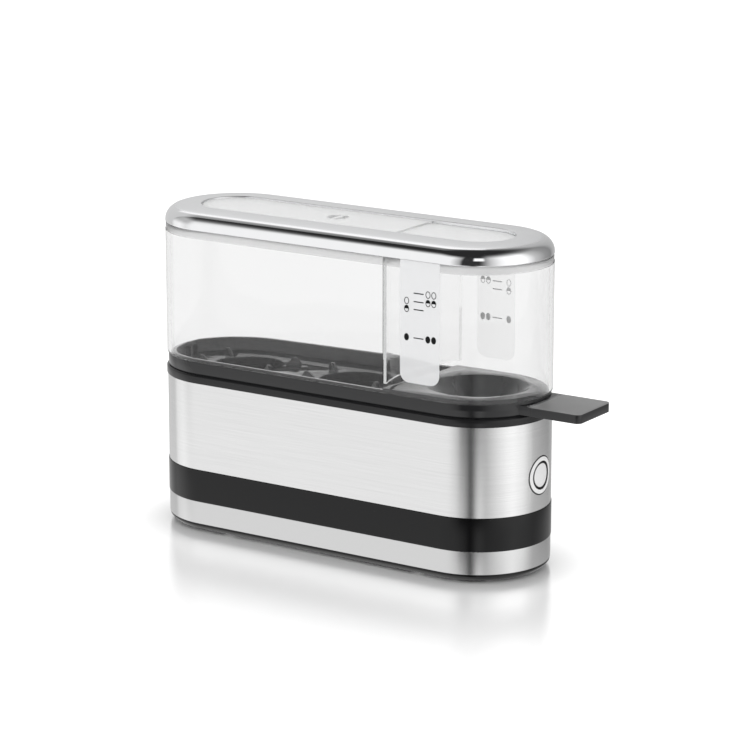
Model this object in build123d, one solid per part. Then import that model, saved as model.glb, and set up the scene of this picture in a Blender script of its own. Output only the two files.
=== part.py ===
# Electric egg cooker for two eggs: a slim heated base, an egg tray that lifts out by its handle, and
# a clear hood whose walled-off end measures the water.
# Millimetres, +Z up. Pieces are drawn round the middle of the body, +X towards the handle and the
# button, and are moved along X when they are saved, so that the origin lies on the surface the cooker
# stands on, under the middle of its overall box.
from build123d import *
import math
import os

# Plan of the body: a stadium, two half circles joined by straight sides
end_spacing = 126.8
sleeve_radius = 31.6

# Heights of the visible rings, from the surface upwards
foot_height = 1.0
plinth_height = 3.0
lower_ring_height = 10.2
band_height = 14.7
sleeve_height = 39.7
rim_height = 3.6
tray_rim_height = 6.0
hood_height = 59.2
chrome_height = 7.4

# Clearances
snug = 0.1
slip = 0.4

# Base cover, the black plinth
plinth_setback = 2.2
cover_edge_inset = 0.2
cover_floor = 2.0
cover_lip_height = 4.0
cover_lip_wall = 1.7

# Rubber feet, sunk in pockets of the cover
foot_radius = 6.0
foot_pocket = 0.8
foot_past_end = 6.6
foot_y = 15.0

# Steel skins and the band between them
sleeve_thickness = 0.6
band_proud = 0.25

# Inner housing, with the rim that caps the sleeve and the lip that the dish hangs under
housing_wall = 2.0
rim_overhang = 0.4
rim_chamfer = 0.6
lip_width = 6.6
lip_top_drop = 4.7
lip_thickness = 2.0

# Heating dish and the seal above its flange
dish_sheet = 0.8
dish_depth = 6.7
dish_flange_width = 2.2
dish_slope = 1.4
dish_bend = 2.0
gasket_height = 0.8

# Clamps that hold the dish up to its seal
clamp_boss_radius = 2.2
clamp_from_end = 21.4
clamp_width = 8.0
clamp_sheet = 1.2
small_screw_radius = 0.9
small_head_radius = 2.0
small_head_height = 1.4

# Heater under the dish
spreader_thickness = 1.5
spreader_radius = 16.0
spreader_shortening = 10.0
heater_tube_radius = 3.2
heater_bend_radius = 12.0
heater_bend_from_end = 23.4
heater_pins_from_end = 17.4
heater_pin_radius = 1.1
heater_pin_length = 8.0

# Thermostat and its flange, between the heater's two runs
thermostat_x = 20.0
thermostat_radius = 7.5
thermostat_height = 8.7
thermostat_ear_spacing = 20.0
thermostat_ear_width = 6.0
thermostat_ear_sheet = 0.8
blade_width = 4.8
blade_thickness = 0.8
blade_length = 6.0

# Thermal fuse in its strap
fuse_x = -18.0
fuse_radius = 2.0
fuse_length = 12.0
fuse_lead_radius = 0.5
fuse_lead_length = 8.0
strap_width = 6.0
strap_sheet = 0.6
strap_foot = 4.5

# Power button and its ring, on the end with the handle
button_z = 44.1
ring_radius = 8.25
ring_gap = 0.35
ring_bore = 6.05
ring_proud = 0.3
ring_depth = 6.5
ring_flange_radius = 9.6
ring_flange_sheet = 1.6
ring_counterbore = 7.3
ring_lip_depth = 2.6
button_radius = 5.65
button_flange_radius = 7.0
button_flange_sheet = 2.0
button_travel = 1.2
stem_radius = 2.0
stem_length = 7.8

# Return spring on the button's stem
spring_radius = 3.1
spring_wire_radius = 0.3
spring_turns = 4
wire_sides = 5

# Switch, its bracket and the lamp board in front of it
bracket_from_face = 13.0
bracket_sheet = 1.5
bracket_half_width = 19.0
bracket_height = 16.0
bracket_boss_radius = 2.8
bracket_boss_y = 15.5
bracket_screw_radius = 1.1
bracket_screw_length = 4.5
switch_depth = 14.0
switch_width = 13.0
plunger_radius = 1.8
plunger_length = 5.6
plunger_gap = 0.2
board_radius = 8.8
board_bore = 4.2
board_thickness = 1.2
lamp_size = 2.2

# Mains inlet end: terminal block and cord gland
terminal_from_end = 3.4
terminal_length = 12.0
terminal_width = 26.0
terminal_height = 9.0
terminal_pitch = 8.0
terminal_screw_radius = 1.7
terminal_screw_height = 3.0
terminal_bore = 1.8
gland_radius = 5.5
gland_bore = 3.3
gland_flange_radius = 7.0
gland_flange_sheet = 1.7
gland_length = 7.8

# Screws that hold the base cover
cover_screw_from_end = 13.4
cover_boss_radius = 3.2
cover_boss_height = 16.0
cover_screw_radius = 1.25
cover_screw_length = 12.0
cover_head_radius = 2.6
cover_head_height = 1.2

# Egg tray
tray_inset = 0.6
tray_groove_depth = 0.6
tray_groove_height = 0.7
tray_upstand_wall = 1.8
tray_upstand_height = 1.0
tray_floor = 1.8
tray_floor_drop = 4.7
tray_skirt_depth = 3.2
tray_skirt_wall = 1.4
egg_pitch = 57.0
egg_hole_radius = 16.0
egg_collar_wall = 1.5
egg_collar_depth = 2.2
fin_setback = 0.5
fin_tip_radius = 21.0
fin_tip_width = 1.4
fin_foot_radius = 25.0
fin_height = 3.5
fin_thickness = 1.8
fin_angle = 29.0
step_from_end = 29.4
step_rise = 1.8
bowl_radius = 22.0
bowl_floor_radius = 9.0
bowl_depth = 12.0
bowl_wall = 1.8
tab_width = 6.0
tab_thickness = 4.0
tab_height = 6.0
handle_reach = 25.7
handle_width = 26.8
handle_thickness = 4.0
handle_drop = 1.2
handle_corner = 2.5

# Clear hood, with the partition that walls off the measure
hood_overhang = 0.2
hood_wall = 2.2
hood_ceiling = 2.9
hood_ceiling_bend = 6.0
shoulder_band_height = 3.5
shoulder_band_depth = 0.2
shoulder_step = 1.6
shoulder_bend = 4.5
chrome_seat_height = 5.5
panel_height = 1.3
panel_radius = 15.1
panel_recess_radius = 13.0
panel_recess = 1.4
panel_step = 0.9
partition_from_end = 28.1
partition_bow = 5.5
partition_wall = 1.8
partition_clearance = 4.0
vent_x = -9.0
vent_radius = 4.75
vent_bar = 1.6

# Chrome ring over the hood's shoulder
chrome_wall = 1.3
chrome_bend = 6.0
chrome_crown = 0.8
chrome_inner_radius = 15.5

# Levels and reaches worked out from the sizes above
end_x = end_spacing / 2
plinth_top = foot_height + plinth_height
lower_ring_top = plinth_top + lower_ring_height
band_top = lower_ring_top + band_height
sleeve_top = band_top + sleeve_height
rim_top = sleeve_top + rim_height
tray_top = rim_top + tray_rim_height
shoulder_z = tray_top + hood_height
total_height = shoulder_z + chrome_height
rim_radius = sleeve_radius + rim_overhang
handle_end_x = end_x + sleeve_radius + handle_reach
body_x = (end_x + rim_radius - handle_end_x) / 2
hood_radius = sleeve_radius + hood_overhang
tray_radius = hood_radius - tray_inset
skin_inner = sleeve_radius - sleeve_thickness
housing_outer = skin_inner - snug
housing_inner = housing_outer - housing_wall

os.makedirs("parts", exist_ok=True)


def save(shape, name):
    """Move a piece from the middle of the body to the part's frame and write it."""
    export_step(Pos(body_x, 0, 0) * shape, f"parts/{name}.step")


def stadium(radius, bottom, top, spacing=end_spacing):
    """Upright solid whose plan is two half circles joined by straight sides."""
    return extrude(Pos(0, 0, bottom) * SlotCenterToCenter(spacing, 2 * radius), amount=top - bottom)


def stadium_ring(outer, inner, bottom, top):
    return stadium(outer, bottom, top) - stadium(inner, bottom, top)


def half_section(start, *steps):
    """Closed half section from (distance out, height) points. A third number makes the step an arc of
    that radius, which is negative where the arc turns clockwise."""
    edges = []
    here = start
    for step in steps:
        there = step[:2]
        if len(step) == 3:
            edges.append(RadiusArc(here, there, step[2]))
        else:
            edges.append(Line(here, there))
        here = there
    edges.append(Line(here, start))
    return Rot(90, 0, 0) * make_face(edges)


def racetrack(section, spacing=end_spacing):
    """Carry a half section round a stadium: a half turn at each end and a straight run on each side."""
    solid = None
    for quarter in (-90, 90):
        side = Rot(0, 0, quarter) * section
        centre = Pos(-spacing / 2 * math.copysign(1, quarter), 0, 0)
        turn = centre * revolve(side, Axis.Z, 180)
        run = extrude(Pos(-spacing / 2, 0, 0) * side, amount=spacing, dir=(1, 0, 0))
        solid = turn + run if solid is None else solid + turn + run
    return solid


def rod_x(radius, start, end, y=0.0, z=0.0):
    """Round bar along X between two places."""
    return Pos(start, y, z) * Rot(0, 90, 0) * Cylinder(radius, end - start, align=(Align.CENTER, Align.CENTER, Align.MIN))


def rod_z(radius, bottom, top, x=0.0, y=0.0):
    """Upright round bar between two heights."""
    return Pos(x, y, bottom) * Cylinder(radius, top - bottom, align=(Align.CENTER, Align.CENTER, Align.MIN))


def block(x_low, x_high, y_low, y_high, z_low, z_high):
    """Rectangular block between its low and high corners."""
    size = (x_high - x_low, y_high - y_low, z_high - z_low)
    return Pos(x_low, y_low, z_low) * Box(*size, align=(Align.MIN, Align.MIN, Align.MIN))


def four_places(x, y):
    """The four places that mirror one another across the body's middle."""
    return [(side * x, front * y) for side in (-1, 1) for front in (-1, 1)]


# Base cover: a floor with a drafted edge, a lip that centres it in the housing, foot pockets and
# countersunk screw holes
cover_floor_top = foot_height + cover_floor
cover_edge = sleeve_radius - cover_edge_inset
cover_lip_outer = housing_inner - 2 * snug
cover_boss_y = housing_inner - cover_boss_radius + slip
foot_x = end_x + foot_past_end
cover_screw_x = end_x - cover_screw_from_end
cover_section = half_section(
    (0, foot_height),
    (sleeve_radius - plinth_setback, foot_height),
    (cover_edge, cover_floor_top),
    (cover_edge, plinth_top),
    (cover_lip_outer, plinth_top),
    (cover_lip_outer, plinth_top + cover_lip_height),
    (cover_lip_outer - cover_lip_wall, plinth_top + cover_lip_height),
    (cover_lip_outer - cover_lip_wall, cover_floor_top),
    (0, cover_floor_top),
)
base_cover = racetrack(cover_section)
for x, y in four_places(foot_x, foot_y):
    base_cover -= rod_z(foot_radius + snug, foot_height, foot_height + foot_pocket, x, y)
for x, y in four_places(cover_screw_x, cover_boss_y):
    base_cover -= rod_z(cover_boss_radius + slip, cover_floor_top, plinth_top + cover_lip_height, x, y)
    base_cover -= rod_z(cover_head_radius + snug, foot_height, foot_height + cover_head_height, x, y)
    base_cover -= rod_z(cover_screw_radius + snug, foot_height, cover_floor_top, x, y)
save(base_cover, "base_cover")

rubber_feet = [
    rod_z(foot_radius, 0, foot_height + foot_pocket, x, y) for x, y in four_places(foot_x, foot_y)
]
save(Compound(rubber_feet), "rubber_feet")

cover_screws = []
for x, y in four_places(cover_screw_x, cover_boss_y):
    head_top = foot_height + cover_head_height
    head = rod_z(cover_head_radius, foot_height + snug, head_top, x, y)
    cover_screws.append(head + rod_z(cover_screw_radius, head_top, head_top + cover_screw_length, x, y))
save(Compound(cover_screws), "cover_screws")

# Steel skins and the band between them, slid over the housing from below
button_hole = rod_x(ring_radius + ring_gap, end_x, end_x + rim_radius, 0, button_z)
gland_z = (lower_ring_top + band_top) / 2
gland_outer_x = -end_x - sleeve_radius - band_proud
gland_hole = rod_x(gland_radius + snug, gland_outer_x - snug, -end_x, 0, gland_z)
save(stadium_ring(sleeve_radius, skin_inner, plinth_top, lower_ring_top), "lower_steel_ring")
save(stadium_ring(sleeve_radius, skin_inner, band_top, sleeve_top) - button_hole, "steel_sleeve")
black_band = stadium_ring(sleeve_radius + band_proud, skin_inner, lower_ring_top, band_top)
save(black_band - gland_hole, "black_band")

# Inner housing: a tall shell with the rim, the lip over the dish, and bosses for every screw
lip_top = rim_top - lip_top_drop
lip_bottom = lip_top - lip_thickness
lip_inner = housing_inner - lip_width
flange_radius = lip_inner + dish_flange_width
flange_top = lip_bottom - gasket_height
flange_bottom = flange_top - dish_sheet
clamp_x = end_x - clamp_from_end
clamp_boss_y = housing_inner - clamp_boss_radius + slip / 2
ring_back_x = end_x + sleeve_radius - ring_depth
bracket_x = end_x + sleeve_radius - bracket_from_face
bracket_front = bracket_x + bracket_sheet
housing_section = half_section(
    (housing_inner, plinth_top),
    (housing_outer, plinth_top),
    (housing_outer, sleeve_top),
    (rim_radius, sleeve_top),
    (rim_radius, rim_top - rim_chamfer),
    (rim_radius - rim_chamfer, rim_top),
    (housing_inner, rim_top),
    (housing_inner, lip_top),
    (lip_inner, lip_top),
    (lip_inner, lip_bottom),
    (housing_inner, lip_bottom),
)
inner_housing = racetrack(housing_section)
housing_core = stadium(housing_outer - snug, foot_height, rim_top)
for x, y in four_places(cover_screw_x, cover_boss_y):
    inner_housing += rod_z(cover_boss_radius, cover_floor_top, cover_floor_top + cover_boss_height, x, y) & housing_core
    inner_housing -= rod_z(cover_screw_radius, cover_floor_top, cover_floor_top + cover_screw_length, x, y)
for x, y in four_places(clamp_x, clamp_boss_y):
    inner_housing += rod_z(clamp_boss_radius, flange_bottom, lip_bottom, x, y) & housing_core
    inner_housing -= rod_z(small_screw_radius, flange_bottom, lip_top - dish_sheet, x, y)
for y in (-bracket_boss_y, bracket_boss_y):
    boss = rod_x(bracket_boss_radius, bracket_front, end_x + housing_outer, y, button_z)
    inner_housing += boss & housing_core
    inner_housing -= rod_x(bracket_screw_radius, bracket_front, bracket_front + bracket_screw_length, y, button_z)
save(inner_housing - button_hole - gland_hole, "inner_housing")

# Heating dish: pressed sheet with a flange, hung under the lip against its seal
dish_floor_top = flange_top - dish_depth
dish_mouth = lip_inner - snug
dish_section = half_section(
    (0, dish_floor_top),
    (dish_mouth - dish_slope - dish_bend, dish_floor_top),
    (dish_mouth - dish_slope, dish_floor_top + dish_bend, -dish_bend),
    (dish_mouth, flange_top),
    (flange_radius, flange_top),
    (flange_radius, flange_bottom),
    (dish_mouth + dish_sheet, flange_bottom),
    (dish_mouth + dish_sheet - dish_slope, dish_floor_top + dish_bend),
    (dish_mouth - dish_slope - dish_bend, dish_floor_top - dish_sheet, dish_bend + dish_sheet),
    (0, dish_floor_top - dish_sheet),
)
save(racetrack(dish_section), "heating_dish")
save(stadium_ring(flange_radius, lip_inner + snug, flange_top, lip_bottom), "dish_gasket")

dish_clamps = []
clamp_screws = []
for x, y in four_places(clamp_x, clamp_boss_y):
    outward = math.copysign(1, y)
    outer_y = y + outward * clamp_boss_radius / 2
    inner_y = outward * (dish_mouth + dish_sheet + slip)
    low_y, high_y = sorted((outer_y, inner_y))
    clamp_bottom = flange_bottom - clamp_sheet
    clamp = block(x - clamp_width / 2, x + clamp_width / 2, low_y, high_y, clamp_bottom, flange_bottom)
    dish_clamps.append(clamp - rod_z(small_screw_radius + snug, clamp_bottom, flange_bottom, x, y))
    head = rod_z(small_head_radius, clamp_bottom - small_head_height, clamp_bottom, x, y)
    clamp_screws.append(head + rod_z(small_screw_radius, clamp_bottom, lip_bottom, x, y))
save(Compound(dish_clamps), "dish_clamps")
save(Compound(clamp_screws), "clamp_screws")

# Heat spreader under the dish, and the bent tube that heats it
spreader_top = dish_floor_top - dish_sheet
spreader_bottom = spreader_top - spreader_thickness
spreader_spacing = end_spacing - 2 * spreader_shortening
save(stadium(spreader_radius, spreader_bottom, spreader_top, spreader_spacing), "heat_spreader")

heater_z = spreader_bottom - heater_tube_radius
heater_start_x = heater_bend_from_end - end_x
heater_end_x = end_x - heater_pins_from_end
heater_path = Polyline(
    (heater_end_x, -heater_bend_radius, heater_z),
    (heater_start_x, -heater_bend_radius, heater_z),
) + ThreePointArc(
    (heater_start_x, -heater_bend_radius, heater_z),
    (heater_start_x - heater_bend_radius, 0, heater_z),
    (heater_start_x, heater_bend_radius, heater_z),
) + Line(
    (heater_start_x, heater_bend_radius, heater_z),
    (heater_end_x, heater_bend_radius, heater_z),
)
heater_disc = Plane(origin=heater_path @ 0, z_dir=heater_path % 0) * Circle(heater_tube_radius)
heating_tube = sweep(heater_disc, path=heater_path)
for y in (-heater_bend_radius, heater_bend_radius):
    heating_tube += rod_x(heater_pin_radius, heater_end_x, heater_end_x + heater_pin_length, y, heater_z)
save(heating_tube, "heating_tube")

# Thermostat pressed against the spreader, with an ear each side for its screws
ear_bottom = spreader_bottom - thermostat_ear_sheet
thermostat_bottom = spreader_bottom - thermostat_height
thermostat = rod_z(thermostat_radius, thermostat_bottom, spreader_bottom, thermostat_x)
ear_reach = thermostat_ear_spacing / 2 + thermostat_ear_width / 2
thermostat += block(
    thermostat_x - ear_reach,
    thermostat_x + ear_reach,
    -thermostat_ear_width / 2,
    thermostat_ear_width / 2,
    ear_bottom,
    spreader_bottom,
)
for side in (-1, 1):
    blade_x = thermostat_x + side * thermostat_radius / 2
    thermostat += block(
        blade_x - blade_thickness / 2,
        blade_x + blade_thickness / 2,
        -blade_width / 2,
        blade_width / 2,
        thermostat_bottom - blade_length,
        thermostat_bottom,
    )
thermostat_screws = []
for side in (-1, 1):
    x = thermostat_x + side * thermostat_ear_spacing / 2
    thermostat -= rod_z(small_screw_radius + snug, ear_bottom, spreader_bottom, x)
    head = rod_z(small_head_radius, ear_bottom - small_head_height, ear_bottom, x)
    thermostat_screws.append(head + rod_z(small_screw_radius, ear_bottom, spreader_bottom, x))
save(thermostat, "thermostat")
save(Compound(thermostat_screws), "thermostat_screws")

# Thermal fuse, strapped to the spreader
fuse_z = spreader_bottom - fuse_radius
fuse_start = fuse_x - fuse_length / 2
fuse_end = fuse_x + fuse_length / 2
thermal_fuse = rod_x(fuse_radius, fuse_start, fuse_end, 0, fuse_z)
thermal_fuse += rod_x(fuse_lead_radius, fuse_start - fuse_lead_length, fuse_end + fuse_lead_length, 0, fuse_z)
save(thermal_fuse, "thermal_fuse")

strap_start = fuse_x - strap_width / 2
strap_end = fuse_x + strap_width / 2
strap_inner = fuse_radius + snug
strap_outer = strap_inner + strap_sheet
fuse_clip = rod_x(strap_outer, strap_start, strap_end, 0, fuse_z)
fuse_clip += block(strap_start, strap_end, -strap_outer, strap_outer, fuse_z, spreader_bottom)
foot_half = strap_outer + strap_foot
fuse_clip += block(strap_start, strap_end, -foot_half, foot_half, spreader_bottom - strap_sheet, spreader_bottom)
fuse_clip -= rod_x(strap_inner, strap_start, strap_end, 0, fuse_z)
fuse_clip -= block(strap_start, strap_end, -strap_inner, strap_inner, fuse_z, spreader_bottom)
fuse_clip &= block(strap_start, strap_end, -foot_half, foot_half, fuse_z - strap_outer, spreader_bottom)
save(fuse_clip, "fuse_clip")

# Button ring: a bush through the sleeve and the housing, whose face follows the round end
ring_front_x = end_x + sleeve_radius + ring_proud
button_ring = rod_x(ring_radius, ring_back_x, ring_front_x, 0, button_z)
button_ring &= stadium(sleeve_radius + ring_proud, lower_ring_top, rim_top)
button_ring += rod_x(ring_flange_radius, ring_back_x, ring_back_x + ring_flange_sheet, 0, button_z)
button_ring -= rod_x(ring_bore, ring_back_x, ring_front_x, 0, button_z)
ring_seat_x = end_x + sleeve_radius - ring_lip_depth
button_ring -= rod_x(ring_counterbore, ring_back_x, ring_seat_x, 0, button_z)
save(button_ring, "button_ring")

# Power button: a cap in the ring, with a flange that stops it and a stem to the switch
flange_back_x = ring_seat_x - button_flange_sheet
stem_end_x = flange_back_x - stem_length
power_button = rod_x(button_radius, flange_back_x, ring_front_x, 0, button_z)
power_button &= stadium(sleeve_radius, lower_ring_top, rim_top)
power_button += rod_x(button_flange_radius, flange_back_x, ring_seat_x, 0, button_z)
power_button += rod_x(stem_radius, stem_end_x, flange_back_x, 0, button_z)
save(power_button, "power_button")

# Switch bracket across the housing, screwed to two bosses, with the switch behind it
bracket_bottom = button_z - bracket_height / 2
switch_bracket = block(
    bracket_x,
    bracket_front,
    -bracket_half_width,
    bracket_half_width,
    bracket_bottom,
    bracket_bottom + bracket_height,
)
switch_bracket -= rod_x(stem_radius + slip, bracket_x, bracket_front, 0, button_z)
bracket_screws = []
for y in (-bracket_boss_y, bracket_boss_y):
    switch_bracket -= rod_x(bracket_screw_radius + snug, bracket_x, bracket_front, y, button_z)
    head = rod_x(small_head_radius, bracket_x - small_head_height, bracket_x, y, button_z)
    shank = rod_x(bracket_screw_radius, bracket_x, bracket_front + bracket_screw_length, y, button_z)
    bracket_screws.append(head + shank)
save(switch_bracket, "switch_bracket")
save(Compound(bracket_screws), "bracket_screws")

switch_back = bracket_x - switch_depth
plunger_back = stem_end_x - plunger_length
switch_half = switch_width / 2
switch_body = block(
    switch_back, bracket_x, -switch_half, switch_half, button_z - switch_half, button_z + switch_half
)
switch_body -= rod_x(plunger_radius + plunger_gap, plunger_back - 2 * button_travel, bracket_x, 0, button_z)
for y in (-switch_half / 2, switch_half / 2):
    switch_body += block(
        switch_back - blade_length,
        switch_back,
        y - blade_thickness / 2,
        y + blade_thickness / 2,
        button_z - blade_width / 2,
        button_z + blade_width / 2,
    )
save(switch_body, "switch_body")
save(rod_x(plunger_radius, plunger_back, stem_end_x, 0, button_z), "switch_plunger")

spring_start = bracket_front + spring_wire_radius
spring_end = flange_back_x - spring_wire_radius
spring_pitch = (spring_end - spring_start) / spring_turns
spring_path = Helix(spring_pitch, spring_end - spring_start, spring_radius)
wire_end = Plane(origin=spring_path @ 0, z_dir=spring_path % 0)
button_spring = sweep(wire_end * RegularPolygon(spring_wire_radius, wire_sides), path=spring_path, is_frenet=True)
save(Pos(spring_start, 0, button_z) * Rot(0, 90, 0) * button_spring, "button_spring")

# Lamp board on the bracket, with a lamp above and below the stem that lights the ring
board_front = bracket_front + board_thickness
lamp_board = rod_x(board_radius, bracket_front, board_front, 0, button_z)
lamp_board -= rod_x(board_bore, bracket_front, board_front, 0, button_z)
for side in (-1, 1):
    lamp_z = button_z + side * (board_radius + board_bore) / 2
    lamp_board += block(
        board_front,
        board_front + lamp_size / 2,
        -lamp_size / 2,
        lamp_size / 2,
        lamp_z - lamp_size / 2,
        lamp_z + lamp_size / 2,
    )
save(lamp_board, "lamp_board")

# Terminal block on the cover's floor: three poles, each with a cross bore and a screw
terminal_x = terminal_from_end - end_x
terminal_top = cover_floor_top + terminal_height
terminal_block = block(
    terminal_x - terminal_length / 2,
    terminal_x + terminal_length / 2,
    -terminal_width / 2,
    terminal_width / 2,
    cover_floor_top,
    terminal_top,
)
terminal_screws = []
for pole in (-1, 0, 1):
    y = pole * terminal_pitch
    bore_z = terminal_top - terminal_screw_height - terminal_bore
    terminal_block -= rod_x(
        terminal_bore, terminal_x - terminal_length / 2, terminal_x + terminal_length / 2, y, bore_z
    )
    terminal_block -= rod_z(terminal_screw_radius + snug, bore_z, terminal_top, terminal_x, y)
    terminal_screws.append(
        rod_z(terminal_screw_radius, terminal_top - terminal_screw_height, terminal_top, terminal_x, y)
    )
save(terminal_block, "terminal_block")
save(Compound(terminal_screws), "terminal_screws")

# Cord gland: a bush through the band and the housing, with a flange inside
gland_end = gland_outer_x + gland_length
cord_gland = rod_x(gland_radius, gland_outer_x, gland_end, 0, gland_z)
cord_gland += rod_x(gland_flange_radius, gland_end - gland_flange_sheet, gland_end, 0, gland_z)
cord_gland -= rod_x(gland_bore, gland_outer_x, gland_end, 0, gland_z)
save(cord_gland, "cord_gland")

# Egg tray: a moulding with a rim that sits on the base, a sunken floor with two egg cups, a raised
# end with a bowl under the measure, and the handle
hood_inner = hood_radius - hood_wall
upstand_outer = hood_inner - slip
upstand_inner = upstand_outer - tray_upstand_wall
floor_top = tray_top - tray_floor_drop
floor_bottom = floor_top - tray_floor
step_top = tray_top + step_rise
skirt_outer = housing_inner - slip
skirt_inner = skirt_outer - tray_skirt_wall
rim_section = half_section(
    (skirt_inner, rim_top - tray_skirt_depth),
    (skirt_outer, rim_top - tray_skirt_depth),
    (skirt_outer, rim_top),
    (tray_radius - tray_groove_depth, rim_top),
    (tray_radius - tray_groove_depth, rim_top + tray_groove_height),
    (tray_radius, rim_top + tray_groove_height),
    (tray_radius, tray_top),
    (upstand_outer, tray_top),
    (upstand_outer, tray_top + tray_upstand_height),
    (upstand_inner, tray_top + tray_upstand_height),
    (upstand_inner, floor_bottom),
    (skirt_inner, floor_bottom),
)
egg_tray = racetrack(rim_section)
egg_tray += stadium(upstand_inner, floor_bottom, floor_top)

step_x = end_x - step_from_end
east_half = block(step_x, end_x + rim_radius, -rim_radius, rim_radius, floor_bottom, step_top)
raised_end = stadium(upstand_outer, tray_top, step_top) + stadium(upstand_inner, floor_bottom, tray_top)
raised_end &= east_half
hollow_end = stadium(upstand_inner, floor_bottom, step_top - tray_floor)
hollow_end &= Pos(tray_floor, 0, 0) * east_half
egg_tray += raised_end
egg_tray -= hollow_end

bowl_bottom = step_top - bowl_depth
bowl_outside = half_section(
    (0, bowl_bottom - bowl_wall),
    (bowl_floor_radius, bowl_bottom - bowl_wall),
    (bowl_radius + bowl_wall, step_top - tray_floor),
    (bowl_radius + bowl_wall, step_top),
    (0, step_top),
)
bowl_inside = half_section(
    (0, bowl_bottom),
    (bowl_floor_radius, bowl_bottom),
    (bowl_radius, step_top),
    (0, step_top),
)
egg_tray += Pos(end_x, 0, 0) * revolve(bowl_outside, Axis.Z, 360)
egg_tray -= Pos(end_x, 0, 0) * revolve(bowl_inside, Axis.Z, 360)

fin_start = egg_hole_radius + fin_setback
fin_section = Rot(90, 0, 0) * make_face(
    Polyline(
        (fin_start, floor_top - tray_floor / 2),
        (fin_start, floor_top),
        (fin_tip_radius - fin_tip_width / 2, floor_top + fin_height),
        (fin_tip_radius + fin_tip_width / 2, floor_top + fin_height),
        (fin_foot_radius, floor_top - tray_floor / 2),
        close=True,
    )
)
fin = extrude(fin_section, amount=fin_thickness / 2, both=True)
for cup in (-1, 0):
    cup_centre = Pos(cup * egg_pitch, 0, 0)
    collar_radius = egg_hole_radius + egg_collar_wall
    collar = rod_z(collar_radius, floor_bottom - egg_collar_depth, floor_bottom)
    egg_tray += cup_centre * collar
    egg_tray -= cup_centre * rod_z(egg_hole_radius, floor_bottom - egg_collar_depth, floor_top)
    for angle in (fin_angle, 180 - fin_angle, 180 + fin_angle, -fin_angle):
        egg_tray += cup_centre * Rot(0, 0, angle) * fin

tab_x = -end_x - upstand_inner - tray_upstand_wall / 2
tab_outline = Polyline(
    (-tab_width / 2, floor_top - tray_floor / 2),
    (-tab_width / 2, floor_top + tab_height - tab_width / 4),
    (0, floor_top + tab_height),
    (tab_width / 2, floor_top + tab_height - tab_width / 4),
    (tab_width / 2, floor_top - tray_floor / 2),
    close=True,
)
tab_face = Pos(tab_x + tab_thickness / 2, 0, 0) * Rot(0, 0, 90) * Rot(90, 0, 0) * make_face(tab_outline)
egg_tray += extrude(tab_face, amount=tab_thickness / 2, both=True)

handle_top = tray_top - handle_drop
handle_start = end_x + upstand_outer - handle_thickness
handle_length = handle_end_x - handle_start
handle_plan = Pos(handle_start + handle_length / 2, 0, handle_top - handle_thickness)
handle_plan *= Rectangle(handle_length, handle_width)
handle_plan = fillet(handle_plan.vertices().group_by(Axis.X)[-1], handle_corner)
handle = extrude(handle_plan, amount=handle_thickness)
egg_tray += handle - stadium(upstand_inner, floor_bottom, step_top)
save(egg_tray, "egg_tray")

# Hood: a clear shell whose shoulder carries the chrome ring, with a raised panel inside the ring
seat_z = shoulder_z + chrome_seat_height
panel_top = seat_z + panel_height
ceiling_z = seat_z - hood_ceiling
neck_radius = hood_radius - shoulder_step
hood_outside = half_section(
    (0, tray_top),
    (hood_radius, tray_top),
    (hood_radius, shoulder_z - shoulder_band_height),
    (hood_radius - shoulder_band_depth, shoulder_z - shoulder_band_height),
    (hood_radius - shoulder_band_depth, shoulder_z),
    (neck_radius, shoulder_z),
    (neck_radius, seat_z - shoulder_bend),
    (neck_radius - shoulder_bend, seat_z, -shoulder_bend),
    (panel_radius, seat_z),
    (panel_radius, panel_top),
    (0, panel_top),
)
hood_inside = half_section(
    (0, tray_top),
    (hood_inner, tray_top),
    (hood_inner, ceiling_z - hood_ceiling_bend),
    (hood_inner - hood_ceiling_bend, ceiling_z, -hood_ceiling_bend),
    (panel_recess_radius, ceiling_z),
    (panel_recess_radius, ceiling_z + panel_recess),
    (0, ceiling_z + panel_recess),
)
hood_core = racetrack(hood_inside)
hood_shell = racetrack(hood_outside) - hood_core

# Partition: a wall bowed towards the eggs, from the ceiling to just above the tray's raised end
partition_x = end_x - partition_from_end
bow_radius = (hood_inner**2 + partition_bow**2) / (2 * partition_bow)
bow_centre_x = partition_x - partition_bow + bow_radius
partition_bottom = tray_top + partition_clearance
partition = rod_z(bow_radius + partition_wall / 2, partition_bottom, seat_z, bow_centre_x)
partition -= rod_z(bow_radius - partition_wall / 2, partition_bottom, seat_z, bow_centre_x)
partition &= block(0, bow_centre_x, -hood_radius, hood_radius, partition_bottom, seat_z)
hood_shell += partition & hood_core

# The panel steps down over the measure, and the vent is a round hole with a bar across it
step_line_x = partition_x - partition_bow
hood_shell -= block(
    step_line_x, end_x + panel_radius + slip / 2, -panel_radius, panel_radius, panel_top - panel_step, panel_top
)
vent = rod_z(vent_radius, ceiling_z, panel_top, vent_x)
vent -= block(
    vent_x - vent_bar / 2, vent_x + vent_bar / 2, -vent_radius, vent_radius, ceiling_z, panel_top
)
hood_shell -= vent
save(hood_shell, "hood_shell")

# Chrome ring: a shell over the shoulder, its crown rising a little towards the panel
chrome_section = half_section(
    (hood_radius, shoulder_z),
    (hood_radius, total_height - chrome_crown - chrome_bend),
    (hood_radius - chrome_bend, total_height - chrome_crown, -chrome_bend),
    (chrome_inner_radius, total_height),
    (chrome_inner_radius, seat_z),
    (neck_radius - shoulder_bend, seat_z),
    (hood_radius - chrome_wall, seat_z - shoulder_bend, shoulder_bend + shoulder_step - chrome_wall),
    (hood_radius - chrome_wall, shoulder_z),
)
save(racetrack(chrome_section), "chrome_ring")

print("overall", 2 * (handle_end_x + body_x), 2 * rim_radius, total_height)
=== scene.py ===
# Looks of the electric egg cooker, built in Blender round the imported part.
import math

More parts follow.
